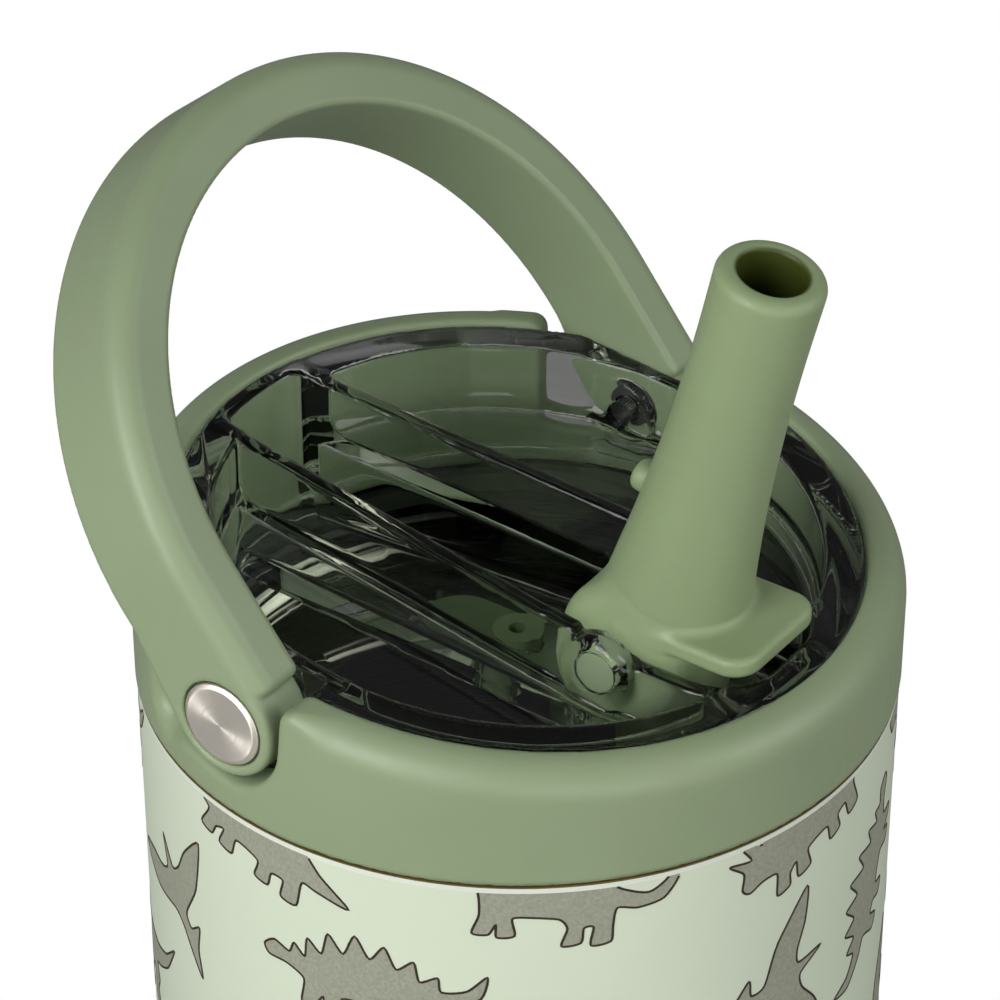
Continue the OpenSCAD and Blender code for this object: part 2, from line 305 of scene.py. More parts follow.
# ---- handle ----
def handle_distance(x, across, along):
    """Handle in its own axes: X, across the band, along the legs; origin on the pivot axis."""
    arch_centre = HANDLE_TOP - HANDLE_HALF
    out = np.where(along > arch_centre, np.hypot(x, along - arch_centre), np.abs(x))
    front = -across - HANDLE_JOG - HANDLE_WIDTH / 2
    # the back edge eases from the round ends to the band
    back = across - np.maximum(HANDLE_WIDTH / 2 - HANDLE_JOG, EAR_R - 0.154 * along)
    outer = out - HANDLE_HALF
    inner = HANDLE_HALF - HANDLE_THICK - out
    band = soft_both(outer, (outer + front + HANDLE_CHAMFER) / math.sqrt(2), 0.7)
    band = soft_both(band, front, 0.7)
    band = round_both(band, back, 0.6)
    band = round_both(band, inner, 0.6)
    # the legs narrow to the round ends, with a shoulder in front
    ear = np.hypot(across, along) - EAR_R
    ear = round_both(round_both(ear, outer, 0.8), inner, 0.6)
    return np.minimum(round_both(band, SHOULDER_FOOT - along, 1.1), ear)


def handle_with_seats(x, across, along):
    body = handle_distance(x, across, along)
    seat = np.hypot(across, along) - (CAP_R + 0.25)
    body = round_both(body, -np.maximum(seat, HANDLE_HALF - SEAT_SINK - np.abs(x)), 0.25)
    return body


HANDLE_PLACE = Matrix.Translation((0, PIVOT.y * MM, (SEAM + PIVOT.z) * MM)) @ Matrix.Rotation(-LEAN, 4, "X")


# ---- clear insert ----
INSERT_R = 38.0
INSERT_WALL = 2.0
SKIRT_R = 37.0
SKIRT_DEPTH = 13.0
CHANNEL_HALF = 9.0
CHANNEL_TAIL = 6.3
CHANNEL_REACH = 34.6
STEP_TOP = 13.2
CHANNEL_FLOOR = 2.6
CHANNEL_TOP = RIM_HEIGHT - 0.5
RIM_BORE = 33.4
PANEL_TOP = RIM_HEIGHT - 0.7
SHELF_TOP = 9.0
PANEL_FACE = HANDLE_HALF - HANDLE_THICK - 0.4
PANEL_MIDDLE = 9.6
PANEL_HALF = 13.4
PANEL_FOOT = 2.0
STEP_BACK = -14.8
RIB_HEIGHT = -10
RIB_HALF = 0.4
BOSS_R = 4.4
SCREW_BORE = 1.5
HINGE_BORE = 2.56
SEAT_HOLE = 7.6
VENT_HOLE = 2.8
VENT_REACH = 17.4
VENT_Y = HINGE.y + VENT_REACH


def insert_distance(x, y, z):
    """One clear moulding: wall, skirt, side shelves, spout channel, pivot bosses."""
    r = np.hypot(x, y)
    side = np.abs(x)
    wall = round_both(r - INSERT_R, rim_distance(y, z, CHANNEL_TOP), 0.4)
    wall = round_both(wall, 2.05 - z, 0.3)
    skirt = np.maximum(r - SKIRT_R, np.maximum(-SKIRT_DEPTH - z, z - 3))
    for k in range(3):
        rib = np.hypot(np.maximum(np.abs(z - RIB_HEIGHT) - RIB_HALF, 0), r - SKIRT_R) - 0.6
        turn = (np.degrees(np.arctan2(y, x)) - 120 * k - 60) % 360
        skirt = np.minimum(skirt, np.maximum(rib, np.abs(turn - 50) * 0.6 - 30))
    solid = np.minimum(wall, skirt)
    # open above and below the side shelves
    above = round_both(r - RIM_BORE, -rim_distance(y, z, SHELF_TOP), 2.5)
    below = np.maximum(r - SKIRT_R + INSERT_WALL, rim_distance(y, z, SHELF_TOP - INSERT_WALL))
    solid = round_both(solid, -above, 0.4)
    solid = soft_both(solid, -below, 1.2)
    # channel for the folded spout, with rounded wall tops
    narrowing = np.clip((y + 10) / (CHANNEL_REACH + 10), 0, 1) * (CHANNEL_HALF - CHANNEL_TAIL)
    plan = round_both(side - CHANNEL_HALF + narrowing, -CHANNEL_REACH - y, 6.0)
    block = np.maximum(plan - INSERT_WALL, CHANNEL_FLOOR - INSERT_WALL - z)
    block = round_both(block, rim_distance(y, z, CHANNEL_TOP), 0.5)
    block = round_both(block, -np.maximum(y - STEP_BACK, STEP_TOP - z), 0.5)
    block = np.maximum(block, r - INSERT_R + 0.4)
    hinge = np.hypot(y - HINGE.y, z - HINGE.z)
    ring = round_both(hinge - BOSS_R, side - CHANNEL_HALF - INSERT_WALL - 1.2, 1.0)
    ring = np.maximum(ring, CHANNEL_HALF + 0.5 - side)
    solid = soft_either(soft_either(solid, block, 0.9), ring, 1.2)
    # flat panels behind the collar openings, with the pivot bosses
    panel = round_both(side - PANEL_FACE, PANEL_FACE - INSERT_WALL - side, 0.4)
    reach = round_both(np.abs(y - PANEL_MIDDLE) - PANEL_HALF, rim_distance(y, z, PANEL_TOP), 1.5)
    panel = round_both(panel, reach, 0.5)
    panel = np.maximum(panel, PANEL_FOOT - z)
    panel = np.maximum(panel, r - INSERT_R + 0.2)
    pivot = np.hypot(y - PIVOT.y, z - PIVOT.z)
    boss = round_both(pivot - BOSS_R, PANEL_FACE - 3.2 - side, 0.5)
    boss = np.maximum(boss, side - PANEL_FACE)
    solid = soft_either(soft_either(solid, panel, 0.5), boss, 0.5)
    inside = round_both(plan, np.maximum(CHANNEL_FLOOR - z, r - INSERT_R + INSERT_WALL), 1.4)
    solid = round_both(solid, -inside, 0.5)
    opening = np.maximum(notch_distance(x, y, z) - 0.6, PANEL_FACE - side)
    solid = round_both(solid, -opening, 0.4)
    # screw holes through the panels, blind holes for the trunnions in the channel walls
    blind = np.maximum(hinge - HINGE_BORE, side - CHANNEL_HALF - INSERT_WALL - 0.4)
    bore = np.where(side > 25, pivot - SCREW_BORE, blind)
    solid = round_both(solid, -bore, 0.3)
    holes = np.minimum(np.hypot(x, y - HINGE.y) - SEAT_HOLE, np.hypot(x, y - VENT_Y) - VENT_HOLE)
    return np.maximum(solid, -np.maximum(holes, np.abs(z) - 5))


# ---- spout ----
SPOUT_PLACE = (
    Matrix.Translation((0, HINGE.y * MM, (SEAM + HINGE.z) * MM))
    @ Matrix.Rotation(SPOUT_LEAN, 4, "X")
    @ Matrix.Translation((0, -SPOUT_OFFSET * MM, 0))
)
# outer radius, distance from the hinge
TUBE_PROFILE = [
    (8.2, -3), (8.15, 2), (7.95, 7), (7.3, 12), (6.62, 19), (6.1, 27), (5.82, 35), (5.78, 43), (5.88, 48),
    (5.88, SPOUT_LENGTH),
]


def tube_radius(s):
    """Outer radius of the spout at a distance from its hinge, as a smooth curve."""
    return np.interp(s, [p[1] for p in TUBE_PROFILE], [p[0] for p in TUBE_PROFILE])


def spout_axes(x, y, z):
    """Frame coordinates, up from the seam, seen in the raised spout's axes."""
    q, s = y - HINGE.y, z - HINGE.z
    along = s * math.cos(SPOUT_LEAN) - q * math.sin(SPOUT_LEAN)
    back = q * math.cos(SPOUT_LEAN) + s * math.sin(SPOUT_LEAN) + SPOUT_OFFSET
    return x, back, along


def tube_distance(x, back, along):
    r = np.hypot(x, back)
    smooth = sum(tube_radius(along + d) for d in (-3, -1.5, 0, 1.5, 3)) / 5
    wall = (r - smooth) * 0.99
    wall = round_both(wall, along - SPOUT_LENGTH, 1.3)
    wall = round_both(wall, SPOUT_BORE - r, 0.45)
    return np.maximum(wall, -3 - along)


def hub_distance(x, y, z):
    """Hinge barrel with its thumb tab, heights up from the seam."""
    barrel = np.hypot(y - HINGE.y, z - HINGE.z) - BARREL_R
    barrel = round_both(barrel, np.abs(x) - 7.7, 2.4)
    corner = 3.2
    dx = np.maximum(np.abs(x) - (TAB_HALF - corner), 0)
    dy = np.maximum(-TAB_FRONT + corner - y, 0)
    plan = np.hypot(dx, dy) - corner
    plan = np.maximum(plan, y - HINGE.y)
    tab = round_both(plan, np.abs(z - TAB_TOP + TAB_THICK / 2) - TAB_THICK / 2, 0.75)
    return soft_either(barrel, tab, 0.6)


def hub_with_root(x, y, z):
    """The hub with a soft fillet up to the tube."""
    side, back, along = spout_axes(x, y, z)
    root = np.maximum(np.hypot(side, back) - tube_radius(along) + 0.06, along - 16)
    return soft_either(hub_distance(x, y, z), root, 1.2)


# ---- materials ----
# most of a noise lies between these values
NOISE_LOW, NOISE_HIGH = 0.3, 0.7


def base_material(name):
    mat = bpy.data.materials.new(name)
    mat.use_nodes = True
    tree = mat.node_tree
    tree.nodes.clear()
    out = tree.nodes.new("ShaderNodeOutputMaterial")
    shader = tree.nodes.new("ShaderNodeBsdfPrincipled")
    tree.links.new(shader.outputs[0], out.inputs["Surface"])
    place = tree.nodes.new("ShaderNodeTexCoord")
    return mat, tree, shader, place.outputs["Object"], out


def noise(tree, place, scale, detail=2.0, rough=0.5):
    n = tree.nodes.new("ShaderNodeTexNoise")
    n.inputs["Scale"].default_value = scale
    n.inputs["Detail"].default_value = detail
    n.inputs["Roughness"].default_value = rough
    tree.links.new(place, n.inputs["Vector"])
    return n.outputs["Fac"]


def spread(tree, value, low, high):
    """A noise stretched between two values."""
    m = tree.nodes.new("ShaderNodeMapRange")
    m.inputs["From Min"].default_value = NOISE_LOW
    m.inputs["From Max"].default_value = NOISE_HIGH
    m.inputs["To Min"].default_value = low
    m.inputs["To Max"].default_value = high
    tree.links.new(value, m.inputs["Value"])
    return m.outputs["Result"]


def tint(tree, value, dark, light):
    """Two colours mixed by a noise."""
    ramp = tree.nodes.new("ShaderNodeValToRGB")
    ramp.color_ramp.elements[0].position = NOISE_LOW
    ramp.color_ramp.elements[1].position = NOISE_HIGH
    ramp.color_ramp.elements[0].color = (*dark, 1)
    ramp.color_ramp.elements[1].color = (*light, 1)
    tree.links.new(value, ramp.inputs["Fac"])
    return ramp.outputs["Color"]


def bump(tree, value, depth, shader):
    """Raises a shader's surface by a noise, to a depth in millimetres."""
    b = tree.nodes.new("ShaderNodeBump")
    b.inputs["Strength"].default_value = 1.0
    b.inputs["Distance"].default_value = depth * MM
    tree.links.new(value, b.inputs["Height"])
    tree.links.new(b.outputs["Normal"], shader.inputs["Normal"])
    return b


def linear(*srgb):
    """An sRGB colour from 0 to 255 as linear values."""
    parts = [c / 255 for c in srgb]
    return tuple(c / 12.92 if c <= 0.04045 else ((c + 0.055) / 1.055) ** 2.4 for c in parts)


def varied(colour, amount):
    """A darker and a lighter version of a colour."""
    return tuple(c * (1 - amount) for c in colour), tuple(min(1, c * (1 + amount)) for c in colour)


PLASTIC_IOR = 1.47
GLOSS_SCALE = 900
GRAIN_SCALE = 3500


def moulded_plastic(
    name, colour, roughness=0.42, grain=0.004, soft_light=0.0, change=0.035, mottle=55
):
    """Satin plastic, silicone or paint: a mottled colour, an uneven gloss and a fine grain in millimetres."""
    mat, tree, shader, place, _ = base_material(name)
    dark, light = varied(colour, change)
    tree.links.new(tint(tree, noise(tree, place, mottle, 3), dark, light), shader.inputs["Base Color"])
    gloss = spread(tree, noise(tree, place, GLOSS_SCALE, 3), roughness - 0.04, roughness + 0.05)
    tree.links.new(gloss, shader.inputs["Roughness"])
    bump(tree, noise(tree, place, GRAIN_SCALE, 2), grain, shader)
    shader.inputs["IOR"].default_value = PLASTIC_IOR
    if soft_light:
        shader.inputs["Subsurface Weight"].default_value = soft_light
        shader.inputs["Subsurface Radius"].default_value = (0.8, 1.0, 0.4)
        shader.inputs["Subsurface Scale"].default_value = 0.002
    return mat


def step(tree, value, low, high):
    """0 below low, 1 above high, smooth between."""
    m = tree.nodes.new("ShaderNodeMapRange")
    m.interpolation_type = "SMOOTHSTEP"
    m.inputs["From Min"].default_value = low
    m.inputs["From Max"].default_value = high
    tree.links.new(value, m.inputs["Value"])
    return m.outputs["Result"]


def times(tree, a, b):
    m = tree.nodes.new("ShaderNodeMath")
    m.operation = "MULTIPLY"
    tree.links.new(a, m.inputs[0])
    tree.links.new(b, m.inputs[1])
    return m.outputs[0]


def over(tree, shader, mask, colour):
    """Lays a colour over a shader's base colour where the mask is 1."""
    mix = tree.nodes.new("ShaderNodeMix")
    mix.data_type = "RGBA"
    slots = [i for i in mix.inputs if i.type == "RGBA"]
    tree.links.new(mask, mix.inputs["Factor"])
    tree.links.new(shader.inputs["Base Color"].links[0].from_socket, slots[0])
    slots[1].default_value = (*colour, 1)
    tree.links.new(next(o for o in mix.outputs if o.type == "RGBA"), shader.inputs["Base Color"])


def principled(mat):
    """The tree, shader and place of a material made by base_material."""
    nodes = mat.node_tree.nodes
    place = next(n for n in nodes if n.type == "TEX_COORD").outputs["Object"]
    return mat.node_tree, next(n for n in nodes if n.type == "BSDF_PRINCIPLED"), place


RING_FADE = 8
PAINTED_RING_METALLIC = 0.15


def painted_reflection_rings(mat, angle, spread_angle, middle, reach, colour):
    """Paints paler rings on one sector of a spun wall, at a height from the seam in millimetres.

    A stand-in for reflections: the photo has bright streaks there, and a real spun wall is the
    same all round.
    """
    tree, shader, place = principled(mat)
    split = tree.nodes.new("ShaderNodeSeparateXYZ")
    tree.links.new(place, split.inputs[0])
    flat = tree.nodes.new("ShaderNodeVectorMath")
    flat.operation = "MULTIPLY"
    tree.links.new(place, flat.inputs[0])
    flat.inputs[1].default_value = (1, 1, 0)
    unit = tree.nodes.new("ShaderNodeVectorMath")
    unit.operation = "NORMALIZE"
    tree.links.new(flat.outputs[0], unit.inputs[0])
    aim = tree.nodes.new("ShaderNodeVectorMath")
    aim.operation = "DOT_PRODUCT"
    tree.links.new(unit.outputs[0], aim.inputs[0])
    aim.inputs[1].default_value = (math.cos(math.radians(angle)), math.sin(math.radians(angle)), 0)
    sector = step(tree, aim.outputs["Value"], math.cos(math.radians(spread_angle)), 1)
    foot, top, fade = (SEAM + middle - reach) * MM, (SEAM + middle + reach) * MM, RING_FADE * MM
    height = split.outputs["Z"]
    band = times(tree, step(tree, height, foot, foot + fade), step(tree, height, top, top - fade))
    # noise drawn out level, so that it makes rings
    stretch = tree.nodes.new("ShaderNodeVectorMath")
    stretch.operation = "MULTIPLY"
    tree.links.new(place, stretch.inputs[0])
    stretch.inputs[1].default_value = (0.02, 0.02, 1)
    rings = step(tree, noise(tree, stretch.outputs[0], 420, 3, 0.6), 0.5, 0.66)
    mask = times(tree, times(tree, sector, band), rings)
    over(tree, shader, mask, colour)
    # the rings of painted reflection turn mostly non-metal, so that the lamps light them
    reflection_metallic = tree.nodes.new("ShaderNodeMapRange")
    reflection_metallic.inputs["To Min"].default_value = 1.0
    reflection_metallic.inputs["To Max"].default_value = PAINTED_RING_METALLIC
    tree.links.new(mask, reflection_metallic.inputs["Value"])
    tree.links.new(reflection_metallic.outputs["Result"], shader.inputs["Metallic"])


def painted_bore_shade(mat, foot, axis, radius, colour):
    """Paints shade inside a bore about an axis: the plastic's colour turns darker there."""
    tree, shader, place = principled(mat)
    away = tree.nodes.new("ShaderNodeVectorMath")
    away.operation = "SUBTRACT"
    tree.links.new(place, away.inputs[0])
    away.inputs[1].default_value = foot
    cross = tree.nodes.new("ShaderNodeVectorMath")
    cross.operation = "CROSS_PRODUCT"
    tree.links.new(away.outputs[0], cross.inputs[0])
    cross.inputs[1].default_value = axis
    length = tree.nodes.new("ShaderNodeVectorMath")
    length.operation = "LENGTH"
    tree.links.new(cross.outputs[0], length.inputs[0])
    over(tree, shader, step(tree, length.outputs["Value"], radius + 0.5 * MM, radius), colour)


CLEAR_TINT = (0.84, 0.86, 0.84, 1)
CLEAR_IOR = 1.4


def clear_material(name, roughness=0.015):
    """Polished clear plastic with a slight grey-green tint and faint unevenness."""
    mat, tree, shader, place, out = base_material(name)
    shader.inputs["Base Color"].default_value = CLEAR_TINT
    shader.inputs["Transmission Weight"].default_value = 1.0
    shader.inputs["IOR"].default_value = CLEAR_IOR
    shader.inputs["Specular IOR Level"].default_value = 0.3
    tree.links.new(
        spread(tree, noise(tree, place, 260, 4), roughness * 0.4, roughness * 1.6), shader.inputs["Roughness"]
    )
    bump(tree, noise(tree, place, 120, 2), 0.006, shader)
    # lamps shine through it, as through real clear plastic
    path = tree.nodes.new("ShaderNodeLightPath")
    see = tree.nodes.new("ShaderNodeBsdfTransparent")
    see.inputs["Color"].default_value = CLEAR_TINT
    mix = tree.nodes.new("ShaderNodeMixShader")
    tree.links.new(path.outputs["Is Shadow Ray"], mix.inputs["Fac"])
    tree.links.new(shader.outputs[0], mix.inputs[1])
    tree.links.new(see.outputs[0], mix.inputs[2])
    tree.links.new(mix.outputs[0], out.inputs["Surface"])
    return mat


def ring_steel(
    name, colour, roughness, rings_per_m, axis, centre=(0, 0, 0), anisotropic=0.6, grain=0.0015,
    change=0.12, metal=1.0,
):
    """Spun steel with rings about one axis."""
    mat, tree, shader, place, _ = base_material(name)
    shader.inputs["Metallic"].default_value = metal
    shader.inputs["Anisotropic"].default_value = anisotropic
    split = tree.nodes.new("ShaderNodeSeparateXYZ")
    tree.links.new(place, split.inputs[0])
    names = [n for n in "XYZ" if n != axis]
    moved = []
    for letter in names:
        add = tree.nodes.new("ShaderNodeMath")
        add.operation = "SUBTRACT"
        tree.links.new(split.outputs[letter], add.inputs[0])
        add.inputs[1].default_value = centre["XYZ".index(letter)]
        moved.append(add.outputs[0])
    join = tree.nodes.new("ShaderNodeCombineXYZ")
    for value, slot in zip(moved, "XY"):
        tree.links.new(value, join.inputs[slot])
    length = tree.nodes.new("ShaderNodeVectorMath")
    length.operation = "LENGTH"
    tree.links.new(join.outputs[0], length.inputs[0])
    ring = tree.nodes.new("ShaderNodeCombineXYZ")
    tree.links.new(length.outputs["Value"], ring.inputs["X"])
    if axis == "Z":
        tree.links.new(split.outputs["Z"], ring.inputs["Y"])
    grooves = noise(tree, ring.outputs[0], rings_per_m, 4, 0.6)
    dark, light = varied(colour, change)
    tree.links.new(tint(tree, grooves, dark, light), shader.inputs["Base Color"])
    tree.links.new(spread(tree, grooves, roughness * 0.75, roughness * 1.3), shader.inputs["Roughness"])
    bump(tree, grooves, grain, shader)
    around = tree.nodes.new("ShaderNodeTangent")
    around.direction_type = "RADIAL"
    around.axis = axis
    tree.links.new(around.outputs[0], shader.inputs["Tangent"])
    return mat


def paint(obj, mat):
    obj.data.materials.clear()
    obj.data.materials.append(mat)
    return obj


def paint_cad(name, mat):
    """Gives a CAD node that stays on show its material."""
    obj = frame["nodes"][name]
    if obj.data.materials:
        for i in range(len(obj.data.materials)):
            obj.data.materials[i] = mat
    else:
        obj.data.materials.append(mat)


GREEN = linear(137, 152, 119)
SPOUT_GREEN = linear(137, 154, 115)
green = moulded_plastic("green_plastic", GREEN)
spout_green = moulded_plastic("spout_silicone", SPOUT_GREEN, roughness=0.45, soft_light=0.25)
hub_green = moulded_plastic("spout_plastic", SPOUT_GREEN, roughness=0.43, soft_light=0.2)
seat_green = moulded_plastic("seat_silicone", linear(104, 122, 84), roughness=0.5)
pad_green = moulded_plastic("pad_silicone", linear(118, 132, 100), roughness=0.6, grain=0.01)
mint = moulded_plastic("mint_paint", linear(205, 215, 193), roughness=0.42, grain=0.002, change=0.01)
seam_brown = moulded_plastic("seam_brown", linear(104, 88, 44), roughness=0.6, change=0.2)
bare_white = moulded_plastic("bare_white", linear(216, 223, 210), roughness=0.35, change=0.01)
print_brown = moulded_plastic("print_brown", linear(48, 38, 24), roughness=0.5, change=0.25)
print_grey = moulded_plastic(
    "print_grey", linear(149, 151, 134), roughness=0.45, change=0.13, mottle=2400
)
straw_milk = moulded_plastic("straw_milk", linear(190, 205, 180), roughness=0.35, soft_light=0.2)
bush_dark = moulded_plastic("bush_plastic", linear(62, 62, 60), roughness=0.4)
trunnion_green = moulded_plastic("trunnion_plastic", linear(150, 166, 132), roughness=0.4)
seal_dark = moulded_plastic("seal_silicone", linear(52, 58, 48), roughness=0.5)
clear = clear_material("clear_plastic")
# painted shade: a near-black colour, far darker than bare steel, for the dark inside of the vessel
inner_steel = ring_steel("inner_steel", (0.012, 0.012, 0.012), 0.25, 9000, "Z", anisotropic=0.75)
# painted in place of the photo's reflections, see painted_reflection_rings
painted_reflection_rings(inner_steel, 72, 34, -14, 16, (0.95, 0.88, 0.78))
dark_steel = ring_steel("dark_steel", (0.12, 0.12, 0.12), 0.3, 5000, "X", anisotropic=0.3)
plain_steel = ring_steel("plain_steel", (0.62, 0.61, 0.59), 0.3, 5000, "Z", anisotropic=0.4)
pivot_centre = ((0, PIVOT.y * MM, (SEAM + PIVOT.z) * MM))
cap_steel = ring_steel(
    "spun_steel", (0.92, 0.86, 0.77), 0.36, 4500, "X", pivot_centre, anisotropic=0.85, grain=0.0004,
    change=0.05, metal=0.88,
)

# ---- pieces ----
collar = moulded("collar", collar_distance, (-43, -43, -0.5), (43, 43, 22.5), 0.4, SEAM_UP)
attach(paint(collar, green), "lid")
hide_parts("lid_collar")

handle = moulded(
    "carry_handle", handle_with_seats, (-42.6, -8.6, -7.2), (42.6, 7.4, HANDLE_TOP + 0.6), 0.4, HANDLE_PLACE
)
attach(paint(handle, green), "handle")
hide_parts("handle")

spout_axis = SPOUT_PLACE.to_3x3() @ Vector((0, 0, 1))
# painted shade: the spout's bore turns a dark olive inside
painted_bore_shade(spout_green, SPOUT_PLACE.translation, spout_axis, (SPOUT_BORE + 0.05) * MM, linear(60, 70, 20))
tube = moulded(
    "spout_tube", tube_distance, (-8.8, -8.8, -3.5), (8.8, 8.8, SPOUT_LENGTH + 0.5), 0.3, SPOUT_PLACE
)
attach(paint(tube, spout_green), "spout")
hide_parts("spout_mouthpiece")

hub = moulded("spout_hinge", hub_with_root, (-9, -35, 2.8), (9, -9, 28), 0.3, SEAM_UP)
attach(paint(hub, hub_green), "spout")
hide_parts("spout_hub")

on_back = Matrix.Rotation(math.radians(-90), 4, "X")
plug_place = SPOUT_PLACE @ Matrix.Translation((0, 0, VENT_REACH * MM)) @ on_back
plug = lathe(
    "vent_nub",
    [(0, 4.7, 0), (1.05, 4.7, 0), (1.05, 6.4, 0.3), (1.8, 6.5, 0.3), (1.8, 8.4, 0.9), (0, 8.5, 0)],
    segments=48, steps=8, place=plug_place,
)
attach(paint(plug, spout_green), "spout")
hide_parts("vent_plug")

insert = moulded("clear_insert", insert_distance, (-38.8, -38.8, -14), (38.8, 38.8, 20.5), 0.42, SEAM_UP)
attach(paint(insert, clear), "lid")
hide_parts("lid_insert")

for side, name in ((-1, "cap_left"), (1, "cap_right")):
    turn = Matrix.Rotation(math.radians(90 * side), 4, "Y")
    out = Matrix.Translation((0, PIVOT.y * MM, (SEAM + PIVOT.z) * MM)) @ turn
    low = HANDLE_HALF - CAP_SINK
    disc = lathe(
        name + "_disc",
        [(0, low, 0), (CAP_R - 0.1, low, 0.1), (CAP_R, HANDLE_HALF - 0.15, 0.3),
         (CAP_R - 0.5, HANDLE_HALF + 0.2, 0.4), (0, HANDLE_HALF + 0.24, 0)],
        segments=96, place=out,
    )
    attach(paint(disc, cap_steel), "handle")
    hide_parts(name)

# body wall: a painted steel sheet, straight above and narrower below
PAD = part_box("base_pad")[1].z / MM
BASE_R = 35.5
FOOT_HEIGHT = 9
STRAIGHT = 62.0
SHEET = 0.6
shell = lathe(
    "body_wall",
    [(BASE_R - 2, PAD - SHEET, 0), (BASE_R - 0.4, PAD - 0.5, 0.6), (BASE_R, FOOT_HEIGHT, 4),
     (BODY_R, STRAIGHT, 30), (BODY_R, SEAM, 0.5), (39.3, SEAM, 0.1), (39.3, SEAM - SHEET, 0),
     (BODY_R - SHEET, SEAM - 1.2, 0), (BODY_R - SHEET, STRAIGHT, 0), (BASE_R - SHEET, FOOT_HEIGHT + 0.1, 0),
     (BASE_R - 1.1, PAD, 0), (BASE_R - 2, PAD, 0)],
    segments=256, steps=8,
)
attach(paint(shell, mint), "vessel")
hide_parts("outer_shell")

# ---- printed animals: generic outlines in millimetres, feet down, length along U ----
LONG_NECK = [
    (-13, 9.2), (-12.6, 10.6), (-11, 11.2), (-9.6, 10.2), (-8.4, 7.4), (-6, 4.8), (-2, 4.1), (2, 4.3),
    (6, 2.8), (9.4, 0.2), (12.8, -1.2), (15.4, 0.4), (16.6, 3.6), (17, 0.6), (14.8, -2.6), (11.4, -3.2),
    (8.8, -2.6), (8.2, -5.2), (7.9, -7.6), (5.4, -7.8), (5.8, -5), (4.6, -5), (4.2, -7.2), (1.8, -7.4),
    (2.6, -4.8), (1.6, -3.2), (-2.4, -2.6), (-4, -2.8), (-3.8, -5.4), (-6, -5.6), (-6, -3.6), (-7, -5.2),
    (-9, -5), (-8, -2.2), (-8, 1.2), (-9.2, 5.4), (-10.4, 8.2), (-11.8, 8.6),
]
PLATED = [
    (-14.4, 1.6), (-12.6, 2.8), (-10.4, 1.8), (-9.4, 3.4), (-8, 1.8), (-7.2, 4.8), (-5.4, 3), (-4, 6.4),
    (-2.2, 3.8), (-0.2, 7), (1.4, 3.8), (3.6, 6), (4.8, 2.8), (7.2, 4.2), (7.6, 1.2), (10, 2),
    (10.2, -0.2), (13.4, 0), (16.2, 2.2), (15, -1.2), (11, -2.6), (8.2, -2.8), (7.8, -6.6), (5.6, -6.8),
    (5.4, -4.2), (3.6, -4.4), (3, -6.6), (0.8, -6.6), (1, -3.8), (-3.2, -3.4), (-4.2, -6.4),
    (-6.2, -6.4), (-6, -3.8), (-7.6, -5.6), (-9.4, -5.4), (-8.6, -1.8), (-11, -0.2), (-13.8, 0.2),
]
HUNTER = [
    (-11.6, 8.2), (-9.4, 9.8), (-6.4, 9.4), (-4.4, 7), (-1.4, 4.6), (3, 3.4), (7.4, 2.6), (12, 3.4),
    (16, 5.8), (12.2, 1.4), (8, -0.6), (5.4, -1.4), (5.8, -4), (4.2, -6.2), (5, -8.4), (2, -8.4),
    (2.2, -6), (3, -4), (1.2, -3.6), (-0.8, -5.6), (-0.6, -8.2), (-3.6, -8.2), (-2.8, -5.8),
    (-1.8, -2.8), (-3.4, 0.2), (-4.8, -1), (-6.8, -0.8), (-5.4, 0.8), (-6, 3.4), (-7.2, 5.4),
    (-10.4, 5.6), (-11.2, 6.8),
]
FLYER = [
    (-10.4, 0.9), (-6.4, 2.4), (-3.2, 4.8), (-3.4, 2.2), (-1.2, 2.2), (2.2, 7.4), (8.6, 12.4),
    (7.2, 7.2), (5, 3.6), (4.8, 1.2), (9.2, 0.4), (4.8, -0.8), (4.6, -3.4), (6.4, -7.4), (7, -12.6),
    (1.6, -7.4), (-1, -1.6), (-3.2, -0.2), (-6, 0.2),
]
HORNED = [
    (-13.4, -0.8), (-12.4, 1.6), (-13.8, 4.2), (-10.8, 2.8), (-11.6, 6.2), (-8.6, 3.8), (-8.2, 7),
    (-5.6, 4.2), (-2, 5), (2.4, 4.8), (6.8, 3.2), (10, 0.6), (14.8, -2.2), (10.2, -2.2), (8, -2.2),
    (8, -6.2), (5.6, -6.4), (5.4, -3.8), (3.6, -4), (3.4, -6.2), (1.2, -6.2), (1.2, -3.6), (-2.6, -3.4),
    (-3, -6.2), (-5.4, -6.2), (-5, -3.6), (-6.4, -4.4), (-7, -6.2), (-9.2, -6), (-8.2, -2.6),
    (-10.4, -1.8), (-12.6, -2),
]
KINDS = {"long_neck": LONG_NECK, "plated": PLATED, "hunter": HUNTER, "flyer": FLYER, "horned": HORNED}
# kind, angle round the body in degrees, height below the seam, turn in degrees, facing (1 left, -1 right)
TILE = [
    ("horned", -41, 1.2, -14, 1), ("long_neck", 3.5, 1.6, 2, 1), ("horned", 48, 1.6, 20, 1),
    ("hunter", 88, 7, 8, 1), ("flyer", -62, 20, -60, -1), ("plated", -23, 15.4, 6, 1),
    ("hunter", 12, 29, -6, -1), ("flyer", 40.5, 22.5, 14, 1), ("plated", 66, 19, 64, -1),
    ("long_neck", -50, 44, 10, -1), ("horned", -14, 40, 8, -1), ("plated", 42, 43, -10, 1),
    ("flyer", 75, 44, 20, 1), ("hunter", -82, 36, 10, 1), ("hunter", 20, 60, 12, 1),
    ("plated", -22, 63, -12, -1), ("horned", 60, 64, 4, 1), ("flyer", -54, 70, -20, 1),
    ("long_neck", 93, 70, 6, -1), ("long_neck", 8, 84, -4, 1), ("hunter", -28, 88, 10, -1),
    ("plated", 46, 88, 8, -1), ("horned", -70, 94, -6, 1), ("flyer", 80, 92, 40, 1),
]
TILES = 2
# direction of the first tile's middle
FACING = -144.53
